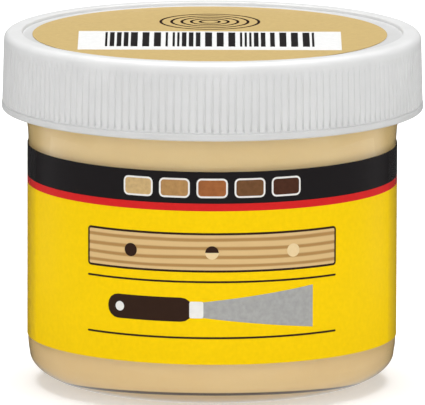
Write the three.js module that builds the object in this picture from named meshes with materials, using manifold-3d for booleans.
// Glass jar of wood filler putty with a fluted screw cap, in millimetres.
// The jar stands on z = 0 with its axis on +Z, and the front of the label faces -Y.
import * as THREE from "three";
import { mergeVertices } from "three/addons/utils/BufferGeometryUtils.js";
import Module from "manifold-3d";

const wasm = await Module();
wasm.setup();

// Glass jar
const bodyDiameter = 57.64;
const bodyWall = 3;
const panelBottom = 7.3; // the straight label panel begins here
const flareHeight = 5.95; // from the top of the panel to the foot of the neck
const neckStep = 0.95; // neck beyond the body's radius
const neckHeight = 8.1;
const neckWall = 3;
const rimRound = 0.7;
const heelReach = 10.5; // radial size of the rounded bottom corner
const heelRise = 4.9;
const heelDraft = 0.25; // the wall leans in by this much between the panel and the corner
const bearingWidth = 2; // flat ring that the jar rests on
const pushUp = 1.1; // hollow under the base
const pushUpSlope = 4;
const floorHeight = 3.6; // inside floor above the table
const innerHeelReach = 8;
const innerHeelRise = 3.4;

// Putty
const fillRise = 1; // edge of the putty above the foot of the neck
const fillCrown = 0.9; // middle of the putty above its edge
const fillClearance = 0.05;

// Wrap-around label
const labelThickness = 0.12;
const labelHeight = 30.25;
const labelMargin = 0.4; // bare panel below and above the label
const labelGap = 4.4; // bare strip of glass at the back seam
const labelClearance = 0.05;

// Sealing liner in the cap
const linerThickness = 1;
const linerClearance = 0.2; // to the inside of the skirt
const sealClearance = 0.05; // rim to liner, and liner to cap

// Screw cap
const capHeight = 12.1;
const capPlate = 1.4;
const skirtWall = 1.09; // to the bottom of the grooves
const neckClearance = 1.38; // room between neck and skirt for the screw thread
const grooveCount = 172;
const grooveDepth = 0.4;
const grooveWidth = 0.46;
const grooveFade = 1.3; // height over which a groove runs out at its top
const capDraft = 0.26; // the skirt's lean over its grooved height
const beadHeight = 1.3; // smooth lip below the grooves
const beadProud = 0.1;
const beadRound = 0.35;
const capTopRound = 1.1;
const shoulderProud = 0.05; // the rounded top edge stands out from the ribs
const recessDepth = 0.55;
const recessSlope = 0.3;
const capRimWidth = 1.9; // flat raised rim round the recess

// Label on the cap
const capLabelMargin = 1.89; // bare ring between the label and the wall of the recess
const capLabelThickness = 0.12;
const capLabelOffset = -0.45; // stuck a little off the middle
const capLabelClearance = 0.02;

const glassSegments = 64;
const capSegments = Math.round(grooveCount / 2);
const arcSteps = 4;

const bodyRadius = bodyDiameter / 2;
const boreRadius = bodyRadius - bodyWall;
const neckRadius = bodyRadius + neckStep;
const neckBore = neckRadius - neckWall;
const labelBottom = panelBottom + labelMargin;
const panelTop = labelBottom + labelHeight + labelMargin;
const neckBottom = panelTop + flareHeight;
const jarHeight = neckBottom + neckHeight;
const linerBottom = jarHeight + sealClearance;
const plateBottom = linerBottom + linerThickness + sealClearance;
const plateTop = plateBottom + capPlate;
const capTop = plateTop + recessDepth;
const capBottom = capTop - capHeight;
const skirtBore = neckRadius + neckClearance;
const ribTopRadius = skirtBore + skirtWall + grooveDepth;
const ribBottomRadius = ribTopRadius + capDraft;
const beadRadius = ribBottomRadius + beadProud;
const grooveTop = capTop - capTopRound;
const grooveBottom = capBottom + beadHeight;
const recessRadius = ribTopRadius - capTopRound - capRimWidth;

// A quarter of an ellipse from one turning point to the other, both ends included
function quarter(centreX, centreY, reachX, reachY, fromDegrees, steps = arcSteps) {
  const points = [];
  for (let i = 0; i <= steps; i += 1) {
    const angle = THREE.MathUtils.degToRad(fromDegrees + (90 * i) / steps);
    points.push([centreX + reachX * Math.cos(angle), centreY + reachY * Math.sin(angle)]);
  }
  return points;
}

// A parabola between two points, square to the radius where it leaves the first one
function parabola([fromRadius, fromHeight], [toRadius, toHeight]) {
  const points = [];
  for (let i = 0; i <= arcSteps; i += 1) {
    const t = i / arcSteps;
    const radius = fromRadius + (toRadius - fromRadius) * t * t;
    points.push([radius, fromHeight + (toHeight - fromHeight) * t]);
  }
  return points;
}

// A solid of revolution about +Z from [radius, height] points that leave the axis at the bottom
// and come back to it at the top
function revolve(outline, segments) {
  const profile = outline.map(([radius, height]) => new THREE.Vector2(radius, height));
  return new THREE.LatheGeometry(profile, segments).rotateX(Math.PI / 2);
}

function solid(geometry) {
  const bare = geometry.clone();
  bare.deleteAttribute("normal");
  bare.deleteAttribute("uv");
  const merged = mergeVertices(bare);
  const vertProperties = new Float32Array(merged.attributes.position.array);
  const triVerts = new Uint32Array(merged.index.array);
  return new wasm.Manifold(new wasm.Mesh({ numProp: 3, vertProperties, triVerts }));
}

function geometryOf(body) {
  const { vertProperties, triVerts } = body.getMesh();
  const geometry = new THREE.BufferGeometry();
  geometry.setAttribute("position", new THREE.BufferAttribute(vertProperties, 3));
  geometry.setIndex(new THREE.BufferAttribute(triVerts, 1));
  return geometry;
}

// Inside wall of the jar from the middle of the floor to the top of the flare, moved in by a clearance
function insideWall(clearance) {
  const wall = boreRadius - clearance;
  const floor = floorHeight + clearance;
  return [
    [0, floor],
    ...quarter(wall - innerHeelReach, floor + innerHeelRise, innerHeelReach, innerHeelRise, -90),
    ...parabola([wall, panelTop], [neckBore - clearance, neckBottom]),
  ];
}

function makeGlassJar() {
  const heelRadius = bodyRadius - heelDraft;
  const bearingOuter = heelRadius - heelReach;
  const bearingInner = bearingOuter - bearingWidth;
  const outline = [
    [0, pushUp],
    [bearingInner - pushUpSlope, pushUp],
    [bearingInner, 0],
    ...quarter(bearingOuter, heelRise, heelReach, heelRise, -90),
    ...parabola([bodyRadius, panelBottom], [heelRadius, heelRise]).reverse().slice(1),
    ...parabola([bodyRadius, panelTop], [neckRadius, neckBottom]),
    ...quarter(neckRadius - rimRound, jarHeight - rimRound, rimRound, rimRound, 0, 2),
    ...quarter(neckBore + rimRound, jarHeight - rimRound, rimRound, rimRound, 90, 2),
    ...insideWall(0).reverse(),
  ];
  return revolve(outline, glassSegments);
}

function makePutty() {
  const crown = quarter(0, neckBottom + fillRise, neckBore - fillClearance, fillCrown, 0);
  return revolve([...insideWall(fillClearance), ...crown], glassSegments);
}

// A strip bent round the jar, open by the label's gap at the back
function makeJarLabel() {
  const inner = bodyRadius + labelClearance;
  const outer = inner + labelThickness;
  const halfGap = labelGap / 2 / inner;
  const first = Math.PI / 2 + halfGap;
  const last = Math.PI * 2.5 - halfGap;
  const strip = new THREE.Shape();
  strip.absarc(0, 0, outer, first, last, false);
  strip.absarc(0, 0, inner, last, first, true);
  const geometry = new THREE.ExtrudeGeometry(strip, {
    depth: labelHeight,
    curveSegments: glassSegments / 2,
    bevelEnabled: false,
  });
  return geometry.translate(0, 0, labelBottom);
}

function makeLiner() {
  const radius = skirtBore - linerClearance;
  const top = linerBottom + linerThickness;
  return revolve(
    [[0, linerBottom], [radius, linerBottom], [radius, top], [0, top]],
    glassSegments,
  );
}

// Radius of the ribs at a height on the leaning skirt
function ribRadius(height) {
  const share = (height - grooveBottom) / (grooveTop - grooveBottom);
  return ribBottomRadius - capDraft * share;
}

// The grooved band of the skirt: V-grooves between broad flat ribs, leaning in and running out at the top
function flutedBand() {
  const band = new THREE.Shape();
  const halfGroove = grooveWidth / 2 / ribBottomRadius;
  for (let i = 0; i < grooveCount; i += 1) {
    const middle = ((i + 0.5) * Math.PI * 2) / grooveCount;
    for (const [side, depth] of [[-1, 0], [0, grooveDepth], [1, 0]]) {
      const angle = middle + side * halfGroove;
      const radius = ribBottomRadius - depth;
      const point = [radius * Math.cos(angle), radius * Math.sin(angle)];
      if (i === 0 && side === -1) band.moveTo(...point);
      else band.lineTo(...point);
    }
  }
  const geometry = new THREE.ExtrudeGeometry(band, { depth: 2, steps: 2, bevelEnabled: false });
  const levels = [grooveBottom - beadRound, grooveTop - grooveFade, grooveTop + shoulderProud];
  const position = geometry.attributes.position;
  const spot = new THREE.Vector3();
  for (let i = 0; i < position.count; i += 1) {
    spot.fromBufferAttribute(position, i);
    const level = Math.round(spot.z);
    const height = levels[level];
    const flat = Math.hypot(spot.x, spot.y);
    const depth = level === 2 ? 0 : ribBottomRadius - flat;
    const scale = (ribRadius(height) - depth) / flat;
    position.setXYZ(i, spot.x * scale, spot.y * scale, height);
  }
  return geometry;
}

function makeScrewCap() {
  const core = ribTopRadius - grooveDepth;
  const topCentre = ribTopRadius + shoulderProud - capTopRound;
  const outside = revolve(
    [
      [0, capBottom],
      ...quarter(beadRadius - beadRound, capBottom + beadRound, beadRound, beadRound, -90, 2),
      [beadRadius, grooveBottom - beadRound],
      [core, grooveBottom],
      [core, grooveTop],
      ...quarter(topCentre, grooveTop, capTopRound, capTopRound, 0),
      [recessRadius + recessSlope, capTop],
      [recessRadius, plateTop],
      [0, plateTop],
    ],
    capSegments,
  );
  const cavity = new THREE.CylinderGeometry(skirtBore, skirtBore, capHeight, capSegments)
    .rotateX(Math.PI / 2)
    .translate(0, 0, plateBottom - capHeight / 2);
  return geometryOf(solid(outside).add(solid(flutedBand())).subtract(solid(cavity)));
}

function makeCapLabel() {
  const bottom = plateTop + capLabelClearance;
  const top = bottom + capLabelThickness;
  const radius = recessRadius - capLabelMargin;
  return revolve([[0, bottom], [radius, bottom], [radius, top], [0, top]], glassSegments);
}

const jar = new THREE.Group();

function addPiece(name, geometry, color, roughness) {
  const material = new THREE.MeshStandardMaterial({ color, roughness, metalness: 0 });
  const mesh = new THREE.Mesh(geometry, material);
  mesh.name = name;
  jar.add(mesh);
  return mesh;
}

addPiece("glass_jar", makeGlassJar(), "#dfe4dc", 0.05);
addPiece("putty_fill", makePutty(), "#d9ba88", 0.8);
addPiece("jar_label", makeJarLabel(), "#f6cf0d", 0.45);
addPiece("cap_liner", makeLiner(), "#f2f0ea", 0.7);
addPiece("screw_cap", makeScrewCap(), "#e6e6e4", 0.4);
const capLabel = addPiece("cap_label", makeCapLabel(), "#dec288", 0.5);
capLabel.position.x = capLabelOffset;

export default jar;
